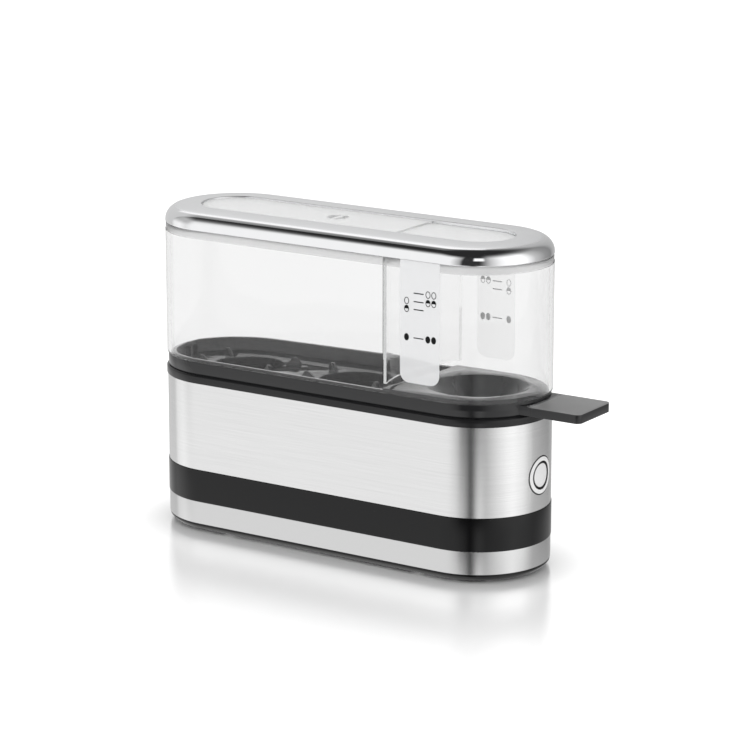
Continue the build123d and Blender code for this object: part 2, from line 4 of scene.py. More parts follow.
import bmesh
import bpy
from mathutils import Matrix, Vector


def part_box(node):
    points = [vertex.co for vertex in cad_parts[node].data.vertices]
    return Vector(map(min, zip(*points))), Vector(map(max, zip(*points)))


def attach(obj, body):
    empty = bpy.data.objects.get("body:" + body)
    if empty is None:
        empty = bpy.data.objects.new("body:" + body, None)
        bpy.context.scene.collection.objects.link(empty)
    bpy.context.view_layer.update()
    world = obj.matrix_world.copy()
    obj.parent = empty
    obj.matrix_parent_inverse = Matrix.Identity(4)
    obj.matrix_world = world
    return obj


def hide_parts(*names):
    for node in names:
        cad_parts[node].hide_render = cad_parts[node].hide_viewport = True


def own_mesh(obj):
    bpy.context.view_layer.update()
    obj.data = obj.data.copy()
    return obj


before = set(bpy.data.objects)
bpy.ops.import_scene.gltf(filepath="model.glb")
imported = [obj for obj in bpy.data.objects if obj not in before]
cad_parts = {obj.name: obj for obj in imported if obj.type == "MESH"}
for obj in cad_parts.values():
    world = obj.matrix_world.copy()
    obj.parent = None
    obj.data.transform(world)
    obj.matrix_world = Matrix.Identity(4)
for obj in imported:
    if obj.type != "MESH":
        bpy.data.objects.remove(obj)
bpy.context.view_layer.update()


# Camera: a long lens a little above the cooker, turned towards the end with the button and the handle,
# as in the photograph. Sizes are in metres throughout, and mm turns millimetres into them.
mm = 0.001
camera_target = Vector((-5.47, 4.76, 74.63)) * mm
camera_back = Vector((0.53546, -0.80828, 0.24491))
camera_distance = 1340.94 * mm

camera = bpy.data.objects.new("camera", bpy.data.cameras.new("camera"))
camera.data.lens = 146.75
camera.data.sensor_width = 36.0
camera.location = camera_target + camera_back * camera_distance
camera.rotation_mode = "QUATERNION"
camera.rotation_quaternion = camera_back.to_track_quat("Z", "Y")
bpy.context.collection.objects.link(camera)
bpy.context.scene.camera = camera
bpy.context.scene.view_settings.view_transform = "Standard"


# Studio: an even white tent. Metal and gloss mirror something darker: two patterns of light round the
# cooker, above and below table height, under a dark roof, with two lamps. Only rough reflections see
# these, and rays that have passed through the clear hood see plain white.
class Value:
    """A shader socket that arithmetic can be written on."""

    def __init__(self, shading, socket):
        self.shading = shading
        self.socket = socket

    def maths(self, operation, *others):
        return self.shading.node("Math", {"operation": operation}, (self, *others))

    def __add__(self, other):
        return self.maths("ADD", other)

    def __sub__(self, other):
        return self.maths("SUBTRACT", other)

    def __rsub__(self, other):
        return self.shading.node("Math", {"operation": "SUBTRACT"}, (other, self))

    def __mul__(self, other):
        return self.maths("MULTIPLY", other)

    def __truediv__(self, other):
        return self.maths("DIVIDE", other)

    __radd__ = __add__
    __rmul__ = __mul__

    def rise(self, low, high):
        """0 below low, 1 above high, and a smooth rise between them."""
        spans = {"Value": self, "From Min": low, "From Max": high}
        return self.shading.node("MapRange", {"interpolation_type": "SMOOTHSTEP"}, spans)

    def window(self, start, full, fade, end):
        """0 outside start and end, 1 between full and fade, and smooth from one to the other."""
        return self.rise(start, full) * (1 - self.rise(fade, end))


class Shading:
    """The nodes of one material, or of the world."""

    def __init__(self, owner):
        owner.use_nodes = True
        self.tree = owner.node_tree
        self.tree.nodes.clear()

    def node(self, kind, settings=None, values=(), output=0):
        """Add a node: its settings first, then the values or links of its sockets, named or in order."""
        node = self.tree.nodes.new("ShaderNode" + kind)
        for name, setting in (settings or {}).items():
            if name == "stops":
                self.fill_ramp(node.color_ramp, setting)
            else:
                setattr(node, name, setting)
        places = values.items() if isinstance(values, dict) else enumerate(values)
        for place, value in places:
            if isinstance(value, Value):
                self.tree.links.new(value.socket, node.inputs[place])
            else:
                node.inputs[place].default_value = value
        return Value(self, node.outputs[output]) if node.outputs else None

    def fill_ramp(self, ramp, stops):
        """Stops are (place from 0 to 1, brightness)."""
        while len(ramp.elements) < len(stops):
            ramp.elements.new(1.0)
        for element, (place, level) in zip(ramp.elements, stops):
            element.position = place
            element.color = (level, level, level, 1.0)

    def split(self, vector, axes="XYZ"):
        """The numbers of a vector along these axes."""
        return [self.node("SeparateXYZ", None, (vector,), axis) for axis in axes]

    def ray(self, kind):
        """1 for a ray of this kind and 0 for any other."""
        return self.node("LightPath", output=f"Is {kind} Ray")

    def blend(self, share, low, high):
        """From one colour to another."""
        return self.node("Mix", {"data_type": "RGBA"}, {0: share, 6: low, 7: high}, 2)

    def principled(self, sockets):
        """Let the material be one principled shader with these sockets."""
        self.node("OutputMaterial", None, (self.node("BsdfPrincipled", None, sockets),))


world = bpy.data.worlds.new("studio")
world.cycles.sampling_method = "NONE"
bpy.context.scene.world = world
tent = Shading(world)
across, along, up = tent.split(tent.node("TexCoord", output="Generated"))
turn = along.maths("ARCTAN2", across) / (2 * math.pi) + 0.5
# Each stop is a part of a full turn round the cooker and the brightness there.
above_table = (
    (0.000, 0.70),
    (0.020, 0.92),
    (0.060, 1.00),
    (0.100, 0.82),
    (0.135, 0.98),
    (0.210, 0.97),
    (0.252, 0.40),
    (0.264, 0.01),
    (0.336, 0.01),
    (0.350, 0.12),
    (0.385, 0.58),
    (0.430, 1.00),
    (0.465, 1.20),
    (0.545, 1.20),
    (0.600, 0.57),
    (0.667, 0.30),
    (0.717, 0.23),
    (0.750, 0.42),
    (0.810, 0.52),
    (0.843, 0.65),
    (0.980, 0.62),
)
below_table = (
    (0.000, 1.00),
    (0.060, 1.18),
    (0.110, 1.00),
    (0.240, 1.00),
    (0.270, 0.78),
    (0.290, 0.45),
    (0.302, 0.08),
    (0.311, 0.08),
    (0.335, 0.98),
    (0.347, 1.12),
    (0.375, 0.70),
    (0.450, 0.93),
    (0.500, 1.22),
    (0.560, 0.90),
    (0.610, 0.56),
    (0.700, 0.56),
    (0.760, 0.44),
    (0.950, 0.74),
)
roof_level = 0.025
lamp_level = 1.15
upper_light = tent.node("ValToRGB", {"stops": above_table}, (turn,))
lower_light = tent.node("ValToRGB", {"stops": below_table}, (turn,))
sideways = turn.rise(0.25, 0.40)
left_shade = 0.5 * up.rise(0.05, 0.45) * (1 - turn.rise(0.07, 0.14))
roof_edge = up.rise(0.55 + 0.07 * sideways, 0.82 + 0.15 * sideways)
upper_light = upper_light * (1 - left_shade) * (1 - roof_edge) + roof_level
lamp_behind = turn.window(0.822, 0.835, 0.89, 0.93) * up.window(0.42, 0.50, 0.80, 0.88)
lamp_right = turn.window(0.306, 0.316, 0.350, 0.366) * up.window(0.31, 0.43, 0.62, 0.73)
lamps = lamp_behind.maths("MAXIMUM", lamp_right)
upper_light = upper_light * (1 - lamps) + lamp_level * lamps
horizon = up.rise(-0.28, -0.21)
mirrored = lower_light * (1 - horizon) + upper_light * horizon
glossy, singular, through = (tent.ray(kind) for kind in ("Glossy", "Singular", "Transmission"))
off_metal = glossy * (1 - singular) * (1 - through)
brightness = 1 + off_metal * (mirrored - 1)
light = tent.node("Background", None, (brightness, 1.0))
tent.node("OutputWorld", None, (light,))


# Floor: a white sheet that keeps a soft shadow, with a weak mirror image of the cooker that fades away
# from it. Past the shadow it glows a little for the camera, so that it looks as white as the tent. The
# cooker's own gloss mirrors the studio's lower pattern and not the sheet.
floor_size = 4.0
mirror_share = 0.42
mirror_fade = 190 * mm
mirror_blur = 0.12
floor_glow = 0.3
shadow_reach = 18 * mm

# The body's plan is a slot: two half rounds of sleeve_radius about points that lie end_x from body_x.
sleeve_low, sleeve_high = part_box("steel_sleeve")
sleeve_radius = (sleeve_high[1] - sleeve_low[1]) / 2
body_x = (sleeve_high[0] + sleeve_low[0]) / 2
end_x = sleeve_high[0] - body_x - sleeve_radius

floor_mesh = bmesh.new()
bmesh.ops.create_grid(floor_mesh, x_segments=1, y_segments=1, size=floor_size)
floor_data = bpy.data.meshes.new("floor")
floor_mesh.to_mesh(floor_data)
floor_mesh.free()
floor_sheet = bpy.data.materials.new("floor_sheet")
sheet = Shading(floor_sheet)
floor_place = sheet.node("TexCoord", output="Object")
floor_x, floor_y = sheet.split(floor_place, "XY")
past_end = ((floor_x - body_x).maths("ABSOLUTE") - end_x).maths("MAXIMUM", 0.0)
clear_of_body = (past_end * past_end + floor_y * floor_y).maths("SQRT") - sleeve_radius
mirror = mirror_share * (1 - clear_of_body.rise(0.0, mirror_fade))
matt = sheet.node("BsdfDiffuse", None, {"Color": (1.0, 1.0, 1.0, 1.0)})
glow = floor_glow * clear_of_body.rise(0.0, shadow_reach) * sheet.ray("Camera")
glow = sheet.node("Emission", None, {"Color": (1.0, 1.0, 1.0, 1.0), "Strength": glow})
matt = sheet.node("AddShader", None, (matt, glow))
ripple = sheet.node("TexWhiteNoise", None, {"Vector": floor_place}, 1)
ripple_spread = (mirror_blur, mirror_blur, 0.0)
ripple_start = (-mirror_blur / 2, -mirror_blur / 2, 1.0)
ripple = sheet.node("VectorMath", {"operation": "MULTIPLY_ADD"}, (ripple, ripple_spread, ripple_start))
glass_sockets = {"Color": (1.0, 1.0, 1.0, 1.0), "Roughness": 0.0, "Normal": ripple}
glass = sheet.node("BsdfAnisotropic", None, glass_sockets)
sheet.node("OutputMaterial", None, (sheet.node("MixShader", None, (mirror, matt, glass)),))
floor_data.materials.append(floor_sheet)
floor = bpy.data.objects.new("floor", floor_data)
floor.visible_glossy = False
bpy.context.collection.objects.link(floor)


# Base cover, feet and cover screws: the black plinth is a plastic moulding that closes the base from
# below, on four soft feet. Four steel screws with sunk heads hold it.
def srgb(red, green, blue):
    """The linear colour that a screen shows as these three numbers from 0 to 255."""
    steps = [level / 255 for level in (red, green, blue)]
    linear = [((step + 0.055) / 1.055) ** 2.4 if step > 0.04045 else step / 12.92 for step in steps]
    return (*linear, 1.0)


def finish(
    name, dark, light, rough, grain, relief, stretch=(1, 1, 1), metallic=0.0, specular=0.5, alpha=1.0
):
    """A material whose colour, gloss and relief follow one fine grain. rough is the least and the most
    roughness, grain the size of a speck and relief its height, and stretch squeezes the grain along an
    axis. The last three are the same all over."""
    material = bpy.data.materials.new(name)
    surface = Shading(material)
    place = surface.node("TexCoord", output="Object")
    place = surface.node("Mapping", None, {"Vector": place, "Scale": stretch})
    specks = surface.node("TexNoise", None, {"Vector": place, "Scale": 1 / grain, "Detail": 3.0})
    clouds = surface.node("TexNoise", None, {"Vector": place, "Scale": 0.04 / grain, "Detail": 2.0})
    sockets = {
        "Base Color": surface.blend(0.5 * specks + 0.5 * clouds, dark, light),
        "Roughness": rough[0] + (rough[1] - rough[0]) * (0.6 * specks + 0.4 * clouds),
        "Normal": surface.node("Bump", None, {"Strength": 1.0, "Distance": relief, "Height": specks}),
        "Metallic": metallic,
        "Specular IOR Level": specular,
        "Alpha": alpha,
    }
    surface.principled(sockets)
    return material


def merge_points(mesh):
    """Merge the points that lie on each other."""
    bmesh.ops.remove_doubles(mesh, verts=mesh.verts[:], dist=0.001 * mm)


def node_copy(node):
    """A copy of a CAD node's mesh with its triangles joined."""
    mesh = bmesh.new()
    mesh.from_mesh(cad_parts[node].data)
    merge_points(mesh)
    return mesh


def smoothed(node, edge):
    """A copy of a CAD node with its flat faces whole and its sharp edges rounded."""
    flat = math.radians(0.5)
    sharp = math.radians(30)
    mesh = node_copy(node)
    bmesh.ops.dissolve_limit(mesh, angle_limit=flat, verts=mesh.verts[:], edges=mesh.edges[:])
    rims = [rim for rim in mesh.edges if len(rim.link_faces) == 2 and rim.calc_face_angle() > sharp]
    bmesh.ops.bevel(
        mesh,
        geom=rims,
        offset=edge,
        segments=2,
        profile=0.5,
        affect="EDGES",
        clamp_overlap=True,
        material=-1,
    )
    return mesh


def fit(name, mesh, material, body, slot, *nodes):
    """Make a finished piece of a mesh, smooth but for its corners. It rides on its body, and it stands for
    the nodes that are named."""
    data = bpy.data.meshes.new(name)
    mesh.to_mesh(data)
    mesh.free()
    data.shade_smooth()
    data.set_sharp_from_angle(angle=math.radians(32))
    data.materials.append(material)
    piece = bpy.data.objects.new(name, data)
    bpy.context.collection.objects.link(piece)
    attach(piece, body)
    if nodes:
        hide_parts(*nodes)
    return piece


def coat(material, *nodes):
    """Give CAD nodes that keep their own shape a material."""
    for node in nodes:
        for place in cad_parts[node].material_slots:
            place.material = material


black_plastic = finish(
    "black_moulding",
    srgb(6, 6, 7),
    srgb(11, 11, 12),
    rough=(0.13, 0.19),
    grain=0.35 * mm,
    relief=0.001 * mm,
    specular=0.32,
)
rubber = finish(
    "foot_rubber",
    srgb(30, 30, 31),
    srgb(44, 44, 45),
    rough=(0.7, 0.9),
    grain=0.5 * mm,
    relief=0.02 * mm,
)
screw_steel = finish(
    "screw_steel",
    srgb(150, 150, 150),
    srgb(190, 190, 188),
    rough=(0.28, 0.42),
    grain=0.4 * mm,
    relief=0.004 * mm,
    metallic=1.0,
)
plinth = smoothed("base_cover", edge=0.25 * mm)
fit("plinth_moulding", plinth, black_plastic, "base", "black_plastic", "base_cover")
feet = smoothed("rubber_feet", edge=0.35 * mm)
fit("soft_feet", feet, rubber, "base", "rubber", "rubber_feet")
coat(screw_steel, "cover_screws")


# Steel skins: the tall sleeve and the low ring are strips of stainless steel, brushed lengthways, bent
# round the housing and slid on from below. Their cut edges are turned a little. The brushed grain shows on
# the sleeve only, and the low ring is painted a darker grey as painted shade for the shadowed floor it
# mirrors.
def round_corners(mesh, corners, radius, segments):
    """Round some corners of a flat face."""
    bmesh.ops.bevel(
        mesh,
        geom=corners,
        offset=radius,
        segments=segments,
        profile=0.5,
        affect="VERTICES",
        material=-1,
    )


def open_section(points, rounds, segments, across, axis_place):
    """The edges of a half section, less what lies on its axis. rounds are (corner's number, radius), and
    across is the number of the coordinate that is axis_place on the axis and grows away from it."""
    mesh = bmesh.new()
    corners = [mesh.verts.new(point) for point in points]
    mesh.faces.new(corners)
    for number, radius in rounds:
        round_corners(mesh, [corners[number]], radius, segments)
    bmesh.ops.delete(mesh, geom=mesh.faces[:], context="FACES_ONLY")
    on_axis = [
        edge
        for edge in mesh.edges
        if all(abs(corner.co[across] - axis_place) < 0.001 * mm for corner in edge.verts)
    ]
    bmesh.ops.delete(mesh, geom=on_axis, context="EDGES")
    return mesh


def racetrack(section, *rounds):
    """Carry a half section, drawn as (distance out, height), round the body's plan. rounds are (corner's
    number in the section, radius)."""
    points = [(body_x - end_x, -out, height) for out, height in section]
    mesh = open_section(points, rounds, segments=8, across=1, axis_place=0)
    rim = mesh.edges[:]
    for side in (1, -1):
        made = bmesh.ops.extrude_edge_only(mesh, edges=rim)["geom"]
        points = [item for item in made if isinstance(item, bmesh.types.BMVert)]
        bmesh.ops.translate(mesh, verts=points, vec=(side * 2 * end_x, 0, 0))
        fresh = set(points)
        rim = [edge for edge in mesh.edges if all(corner in fresh for corner in edge.verts)]
        turned = bmesh.ops.spin(
            mesh,
            geom=rim + points,
            cent=(body_x + side * end_x, 0, 0),
            axis=(0, 0, 1),
            angle=math.pi,
            steps=56,
        )
        rim = [item for item in turned["geom_last"] if isinstance(item, bmesh.types.BMEdge)]
    merge_points(mesh)
    bmesh.ops.recalc_face_normals(mesh, faces=mesh.faces[:])
    return mesh


def combined(mesh, tool, operation="DIFFERENCE"):
    """Cut a tool out of a mesh, or join it on. Both are used up."""
    pair = []
    for part in (mesh, tool):
        data = bpy.data.meshes.new("work")
        part.to_mesh(data)
        part.free()
        pair.append(bpy.data.objects.new("work", data))
        bpy.context.collection.objects.link(pair[-1])
    change = pair[0].modifiers.new("change", "BOOLEAN")
    change.operation = operation
    change.solver = "EXACT"
    change.object = pair[1]
    bpy.context.view_layer.update()
    result = bmesh.new()
    result.from_object(pair[0], bpy.context.evaluated_depsgraph_get())
    for part in pair:
        bpy.data.meshes.remove(part.data)
    return result


def rod(radius, start, end):
    """A round bar between two points."""
    mesh = bmesh.new()
    span = Vector(end) - Vector(start)
    turned = span.to_track_quat("Z", "Y").to_matrix().to_4x4()
    bmesh.ops.create_cone(
        mesh,
        cap_ends=True,
        segments=64,
        radius1=radius,
        radius2=radius,
        depth=span.length,
        matrix=Matrix.Translation((Vector(start) + Vector(end)) / 2) @ turned,
    )
    return mesh


def skin_section(node, thickness):
    """Half section of a thin upright strip that fills a CAD node's box."""
    low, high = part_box(node)
    outer = (high[1] - low[1]) / 2
    return [(outer - thickness, low[2]), (outer, low[2]), (outer, high[2]), (outer - thickness, high[2])]


ring_low, ring_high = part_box("button_ring")
button_z = (ring_low[2] + ring_high[2]) / 2
ring_radius = 8.25 * mm
ring_clearance = 0.35 * mm
sleeve_sheet = 0.6 * mm
turned_edge = 0.18 * mm
painted_shade_below = 18 * mm
unshaded_above = 28 * mm

brushed_steel = bpy.data.materials.new("brushed_steel")
steel = Shading(brushed_steel)
steel_place = steel.node("TexCoord", output="Object")
hairs = steel.node("Mapping", None, {"Vector": steel_place, "Scale": (28, 28, 6500)})
hairs = steel.node("TexNoise", None, {"Vector": hairs, "Scale": 1.0, "Detail": 4.0, "Roughness": 0.6})
bands = steel.node("Mapping", None, {"Vector": steel_place, "Scale": (9, 9, 900)})
bands = steel.node("TexNoise", None, {"Vector": bands, "Scale": 1.0, "Detail": 2.0})
# Below the sleeve the colour stays at its darkest grey: painted shade for the shadowed floor that the low
# ring mirrors.
above_painted_shade = steel.split(steel_place, "Z")[0].rise(painted_shade_below, unshaded_above)
brushing_and_painted_shade = above_painted_shade * (0.8 * hairs + 0.2 * bands)
steel_sockets = {
    "Base Color": steel.blend(brushing_and_painted_shade, srgb(212, 212, 212), srgb(244, 244, 244)),
    "Roughness": 0.2 + 0.06 * hairs + 0.03 * bands,
    "Normal": steel.node("Bump", None, {"Strength": 0.09, "Distance": 0.01 * mm, "Height": hairs}),
    "Metallic": 1.0,
    "Anisotropic": 0.9,
    "Anisotropic Rotation": 0.25,
}
steel.principled(steel_sockets)

sleeve = racetrack(skin_section("steel_sleeve", sleeve_sheet), (1, turned_edge), (2, turned_edge))
hole_start = Vector((body_x + end_x, 0, button_z))
hole_end = hole_start + Vector((2 * sleeve_radius, 0, 0))
button_hole = rod(ring_radius + ring_clearance, hole_start, hole_end)
fit("sleeve_skin", combined(sleeve, button_hole), brushed_steel, "base", "brushed_sleeve", "steel_sleeve")
low_ring = racetrack(skin_section("lower_steel_ring", sleeve_sheet), (1, turned_edge), (2, turned_edge))
fit("low_skin", low_ring, brushed_steel, "base", "brushed_sleeve", "lower_steel_ring")


# Band: a black plastic strip between the two skins, which stands a hair proud of them. The cord's gland
# comes out through it at the left end.
band_edge = 0.3 * mm
gland_radius = 5.6 * mm

band_section = skin_section("black_band", sleeve_sheet)
band = racetrack(band_section, (1, band_edge), (2, band_edge))
gland_low, gland_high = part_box("cord_gland")
gland_z = (gland_low[2] + gland_high[2]) / 2
hole_end = Vector((body_x - end_x, 0, gland_z))
hole_start = hole_end - Vector((2 * sleeve_radius, 0, 0))
gland_hole = rod(gland_radius, hole_start, hole_end)
fit("band_strip", combined(band, gland_hole), black_plastic, "base", "black_plastic", "black_band")
gland = smoothed("cord_gland", edge=0.25 * mm)
fit("gland_bush", gland, black_plastic, "base", "black_plastic", "cord_gland")


# Inner housing: the moulding that carries everything, of a plastic a little greyer than the band's. Only
# its rim shows, between the sleeve and the tray.
housing_plastic = finish(
    "housing_moulding",
    srgb(26, 26, 27),
    srgb(32, 32, 33),
    rough=(0.16, 0.22),
    grain=0.35 * mm,
    relief=0.001 * mm,
    specular=0.34,
)
housing = smoothed("inner_housing", edge=0.25 * mm)
fit("housing_moulding", housing, housing_plastic, "base", "black_plastic", "inner_housing")


# Heating dish, its seal, clamps and screws: the dish that the water is poured into is pressed aluminium
# with a dark coating. Four clamps hold its flange up to a silicone ring under the housing's lip.
dish_coating = finish(
    "dish_coating",
    srgb(46, 46, 47),
    srgb(64, 64, 64),
    rough=(0.32, 0.46),
    grain=0.25 * mm,
    relief=0.006 * mm,
    metallic=0.3,
)
silicone = finish(
    "silicone",
    srgb(150, 150, 147),
    srgb(170, 170, 166),
    rough=(0.5, 0.65),
    grain=0.6 * mm,
    relief=0.01 * mm,
)
sheet_steel = finish(
    "sheet_steel",
    srgb(168, 170, 172),
    srgb(200, 201, 202),
    rough=(0.3, 0.45),
    grain=0.5 * mm,
    relief=0.004 * mm,
    stretch=(1, 6, 6),
    metallic=1.0,
)
dish = smoothed("heating_dish", edge=0.15 * mm)
fit("dish_pressing", dish, dish_coating, "base", "dish_coating", "heating_dish")
coat(silicone, "dish_gasket")
coat(sheet_steel, "dish_clamps", "fuse_clip", "switch_bracket")
coat(screw_steel, "clamp_screws", "thermostat_screws", "bracket_screws")


# Heater: an aluminium plate under the dish, with the bent heating tube, a thermostat and a thermal fuse
# against it.
aluminium = finish(
    "cast_aluminium",
    srgb(182, 184, 186),
    srgb(206, 207, 208),
    rough=(0.36, 0.5),
    grain=0.7 * mm,
    relief=0.01 * mm,
    metallic=1.0,
)
heater_sheath = finish(
    "heater_sheath",
    srgb(84, 80, 76),
    srgb(122, 116, 110),
    rough=(0.4, 0.6),
    grain=1.2 * mm,
    relief=0.01 * mm,
    metallic=1.0,
)
thermostat_body = finish(
    "thermostat_case",
    srgb(36, 34, 33),
    srgb(52, 49, 47),
    rough=(0.4, 0.55),
    grain=0.4 * mm,
    relief=0.006 * mm,
)
fuse_body = finish(
    "fuse_case",
    srgb(190, 176, 140),
    srgb(206, 194, 160),
    rough=(0.3, 0.4),
    grain=0.4 * mm,
    relief=0.004 * mm,
    metallic=0.6,
)
coat(aluminium, "heat_spreader")
coat(heater_sheath, "heating_tube")
coat(thermostat_body, "thermostat")
coat(fuse_body, "thermal_fuse")


# Button ring and button: a white ring that the lamps light from behind, pressed through the sleeve, and a
# cap in it with a pale satin face. The dark grey round the cap's face and round the ring's white face is
# painted shade for the gaps between them. The faces of both follow the round end of the body.
def turned_on_x(section, follow_radius, *rounds):
    """Turn a section, drawn as (radius, place along X from the end of the body), about the button's axis.
    What lies near the front is then bent to the round end of that radius."""
    face_x = body_x + end_x + sleeve_radius
    front_depth = 1.5 * mm
    points = [(face_x + place, 0, button_z + radius) for radius, place in section]
    mesh = open_section(points, rounds, segments=6, across=2, axis_place=button_z)
    bmesh.ops.spin(
        mesh,
        geom=mesh.verts[:] + mesh.edges[:],
        cent=(0, 0, button_z),
        axis=(1, 0, 0),
        angle=2 * math.pi,
        steps=96,
        use_merge=True,
    )
    merge_points(mesh)
    bmesh.ops.recalc_face_normals(mesh, faces=mesh.faces[:])
    for point in mesh.verts:
        if point.co.x > face_x - front_depth:
            point.co.x += math.sqrt(follow_radius**2 - point.co.y**2) - follow_radius
    return mesh


def distance_from_axis(shading, place):
    """How far a point lies from the button's axis."""
    sideways, upright = shading.split(place, "YZ")
    upright = upright - button_z
    return (sideways * sideways + upright * upright).maths("SQRT")


ring_proud = 0.3 * mm
ring_bore = 6.05 * mm
ring_counterbore = 7.3 * mm
ring_lip = 2.6 * mm
ring_flange_radius = 9.6 * mm
ring_flange_front = 4.9 * mm
ring_depth = 6.5 * mm
ring_inner_edge = 0.4 * mm
ring_outer_edge = 0.55 * mm
ring_section = (
    (ring_bore, ring_proud),
    (ring_radius, ring_proud),
    (ring_radius, -ring_flange_front),
    (ring_flange_radius, -ring_flange_front),
    (ring_flange_radius, -ring_depth),
    (ring_counterbore, -ring_depth),
    (ring_counterbore, -ring_lip),
    (ring_bore, -ring_lip),
)
cap_radius = 5.65 * mm
cap_shade_radius = 5.1 * mm
cap_flange_radius = 7.0 * mm
cap_flange_back = 4.6 * mm
stem_radius = 1.85 * mm
stem_back = 12.4 * mm
cap_edge = 0.5 * mm
cap_section = (
    (0, 0),
    (cap_radius, 0),
    (cap_radius, -ring_lip),
    (cap_flange_radius, -ring_lip),
    (cap_flange_radius, -cap_flange_back),
    (stem_radius, -cap_flange_back),
    (stem_radius, -stem_back),
    (0, -stem_back),
)
light_ring = bpy.data.materials.new("light_ring")
ring = Shading(light_ring)
ring_place = ring.node("TexCoord", output="Object")
from_axis = distance_from_axis(ring, ring_place)
# The ring is white on its front face only; its bore, round edges, sides and flange are painted dark grey
# as painted shade for the gaps round it.
unshaded_from = ring_bore + 0.1 * mm
unshaded_to = ring_radius - 0.1 * mm
shade_fade = 0.25 * mm
unshaded_face = from_axis.window(unshaded_from, unshaded_from + shade_fade, unshaded_to - shade_fade, unshaded_to)
mottle = ring.node("TexNoise", None, {"Vector": ring_place, "Scale": 900.0, "Detail": 2.0})
ring_sockets = {
    "Base Color": ring.blend(unshaded_face, srgb(70, 70, 71), srgb(248, 248, 248)),
    "Roughness": 0.2 + 0.08 * mottle,
}
ring.principled(ring_sockets)
button_metal = bpy.data.materials.new("button_cap")
cap = Shading(button_metal)
cap_place = cap.node("TexCoord", output="Object")
satin = cap.node("Mapping", None, {"Vector": cap_place, "Scale": (1, 1, 12)})
satin = cap.node("TexNoise", None, {"Vector": satin, "Scale": 1100.0, "Detail": 3.0})
from_axis = distance_from_axis(cap, cap_place)
# Past its face the cap is painted dark grey, as painted shade for the gap round it.
cap_unshaded = 1 - from_axis.rise(cap_shade_radius - 0.1 * mm, cap_shade_radius + 0.1 * mm)
cap_sockets = {
    "Base Color": cap.blend(cap_unshaded * (0.96 + 0.04 * satin), srgb(52, 52, 53), srgb(254, 254, 254)),
    "Roughness": 0.3 + 0.1 * satin,
    "Metallic": 0.2,
}
cap.principled(cap_sockets)
ring_rounds = ((0, ring_inner_edge), (1, ring_outer_edge))
ring_mesh = turned_on_x(ring_section, sleeve_radius + ring_proud, *ring_rounds)
fit("light_ring_moulding", ring_mesh, light_ring, "base", "light_ring", "button_ring")
cap_mesh = turned_on_x(cap_section, sleeve_radius, (1, cap_edge))
fit("button_cap", cap_mesh, button_metal, "button", "button_metal", "power_button")


# Switch group, held behind the button: switch, plunger, spring, lamp board and bracket, then the mains
# terminals at the other end. The spring stands on the bracket and gets a mesh of its own; nothing here
# shortens it as the button goes in.
spring_steel = finish(
    "spring_steel",
    srgb(176, 178, 180),
    srgb(204, 205, 206),
    rough=(0.2, 0.3),
    grain=0.3 * mm,
    relief=0.002 * mm,
    metallic=1.0,
)
white_plastic = finish(
    "white_moulding",
    srgb(222, 221, 214),
    srgb(234, 233, 227),
    rough=(0.38, 0.5),
    grain=0.5 * mm,
    relief=0.006 * mm,
)
circuit_board = finish(
    "board_lacquer",
    srgb(18, 84, 50),
    srgb(26, 104, 62),
    rough=(0.3, 0.42),
    grain=0.5 * mm,
    relief=0.006 * mm,
)
brass = finish(
    "brass",
    srgb(186, 148, 74),
    srgb(212, 176, 98),
    rough=(0.25, 0.4),
    grain=0.5 * mm,
    relief=0.004 * mm,
    metallic=1.0,
)
spring = node_copy("button_spring")
spring_wire = fit("spring_wire", spring, spring_steel, "base", "spring_steel", "button_spring")
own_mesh(spring_wire)
coat(white_plastic, "switch_body", "switch_plunger", "terminal_block")
coat(circuit_board, "lamp_board")
coat(brass, "terminal_screws")


# Egg tray: a glossy black moulding that lies on the housing's rim and lifts out by its handle, whose top
# is painted pale grey with a faint grain, as a painted sheen. It has two holes, each with four leaning
# fins, and a bowl under the measure.
handle_start = body_x + end_x + sleeve_radius
handle_drop = 1.2 * mm
handle_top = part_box("hood_shell")[0][2] - handle_drop
tray_plastic = bpy.data.materials.new("tray_moulding")
moulding = Shading(tray_plastic)
tray_place = moulding.node("TexCoord", output="Object")
tray_x, tray_z = moulding.split(tray_place, "XZ")
grain = moulding.node("TexNoise", None, {"Vector": tray_place, "Scale": 2500.0, "Detail": 3.0})
on_handle = tray_x.rise(handle_start, handle_start + 3 * mm)
# The handle's top is painted pale grey as a painted sheen.
painted_sheen = on_handle * tray_z.rise(handle_top - 0.3 * mm, handle_top - 0.1 * mm)
tray_sockets = {
    "Base Color": moulding.blend(painted_sheen + 0.01 * grain, srgb(34, 34, 35), srgb(128, 128, 128)),
    "Roughness": 0.07 + 0.04 * grain + 0.2 * on_handle,
    "Specular IOR Level": 0.46,
    "Normal": moulding.node("Bump", None, {"Strength": 1.0, "Distance": 0.0002 * mm, "Height": grain}),
}
moulding.principled(tray_sockets)
tray = smoothed("egg_tray", edge=0.35 * mm)
fit("tray_shell", tray, tray_plastic, "tray", "tray_plastic", "egg_tray")


# Hood: a clear moulding with one inner wall, bowed away from the handle, that closes off the measure. Its
# top has a raised panel with a step in it, and a steam vent with a bar across.
hood_low, hood_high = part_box("hood_shell")
hood_radius = (hood_high[1] - hood_low[1]) / 2
hood_bottom = hood_low[2]
panel_top = hood_high[2]
hood_wall = 2.2 * mm
wall_height = 59.2 * mm
band_height = 3.5 * mm
band_depth = 0.2 * mm
shoulder_step = 1.6 * mm
panel_height = 1.3 * mm
panel_radius = 15.1 * mm
ceiling_thickness = 2.9 * mm
recess_radius = 13.0 * mm
recess_depth = 1.4 * mm
moulded_edge = 0.5 * mm
matt_edge = 0.1 * mm
panel_edge = 0.6 * mm
inner_bend = 6.0 * mm
outer_bend = 4.5 * mm
hood_inner = hood_radius - hood_wall
shoulder_z = hood_bottom + wall_height
band_z = shoulder_z - band_height
neck_radius = hood_radius - shoulder_step
